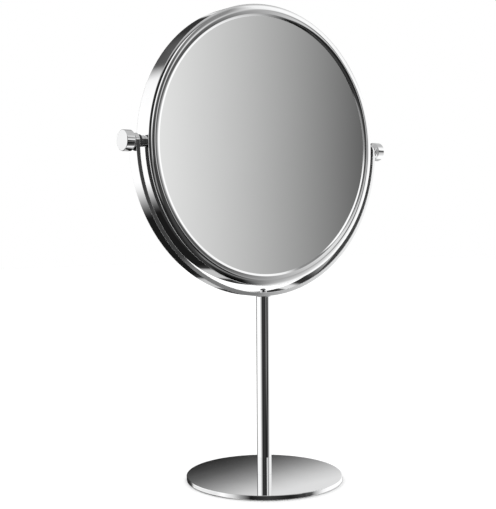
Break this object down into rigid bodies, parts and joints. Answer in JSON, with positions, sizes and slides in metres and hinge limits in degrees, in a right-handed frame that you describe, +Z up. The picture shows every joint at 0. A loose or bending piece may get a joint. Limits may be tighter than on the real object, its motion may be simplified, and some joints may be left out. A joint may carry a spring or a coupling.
{
  "type": "extendable shaving mirror",
  "caption": "Free-standing two-sided round shaving mirror that tilts in a half-ring yoke on a telescopic column with a thin round base.",
  "frame": {"origin": "centre of the base, on the surface that the mirror stands on", "axes": "+Z up along the column, +X along the tilt axis towards the right knob, -Y the way the plain mirror faces"},
  "size_m": [0.2506, 0.123, 0.3708],
  "materials": {
    "chrome": "mirror-bright chrome plate",
    "plain_glass": "flat silvered glass",
    "magnifying_glass": "concave silvered glass",
    "steel": "bright zinc-plated steel",
    "brass": "machined brass",
    "black_rubber": "matt black rubber",
    "black_nylon": "dull black nylon",
    "foam": "dark grey foam sheet",
    "grey_plastic": "moulded grey plastic"
  },
  "bodies": {
    "stand": {"base_plate": "chrome", "base_pad": "black_rubber", "base_screw": "steel", "post": "steel", "post_sleeve": "black_nylon", "friction_ring": "black_rubber", "post_cap_washer": "steel", "post_cap_screw": "steel"},
    "column": {"column_tube": "chrome", "column_bush": "black_nylon", "column_plug": "steel", "yoke_screw": "chrome", "yoke_spring_washer": "steel"},
    "yoke": {"yoke": "chrome", "swivel_bush": "black_nylon", "left_eye_bush": "black_nylon", "right_eye_bush": "black_nylon"},
    "head": {"case_band": "chrome", "front_bezel": "chrome", "rear_bezel": "chrome", "front_glass": "plain_glass", "rear_glass": "magnifying_glass", "front_cushion": "foam", "rear_cushion": "foam", "backing_plate": "grey_plastic", "support_ring": "steel", "spacer_ring": "grey_plastic", "left_pivot_boss": "brass", "right_pivot_boss": "brass", "left_collar": "chrome", "right_collar": "chrome", "left_tilt_washer": "black_rubber", "right_tilt_washer": "black_rubber"},
    "left_knob": {"left_knob": "chrome", "left_stud": "steel", "left_knob_washer": "steel"},
    "right_knob": {"right_knob": "chrome", "right_stud": "steel", "right_knob_washer": "steel"}
  },
  "joints": [
    {"name": "column_slide", "type": "slide", "parent": "stand", "child": "column", "axis": [0, 0, 1], "range_m": [0, 0.08]},
    {"name": "yoke_swivel", "type": "hinge", "parent": "column", "child": "yoke", "pos_m": [0, 0, 0.1455], "axis": [0, 0, 1], "continuous": true},
    {"name": "mirror_tilt", "type": "hinge", "parent": "yoke", "child": "head", "pos_m": [0, 0, 0.2622], "axis": [1, 0, 0], "continuous": true},
    {"name": "left_knob_turn", "type": "hinge", "parent": "head", "child": "left_knob", "pos_m": [-0.12, 0, 0.2622], "axis": [-1, 0, 0], "range_deg": [0, 180]},
    {"name": "right_knob_turn", "type": "hinge", "parent": "head", "child": "right_knob", "pos_m": [0.12, 0, 0.2622], "axis": [1, 0, 0], "range_deg": [0, 180]}
  ]
}
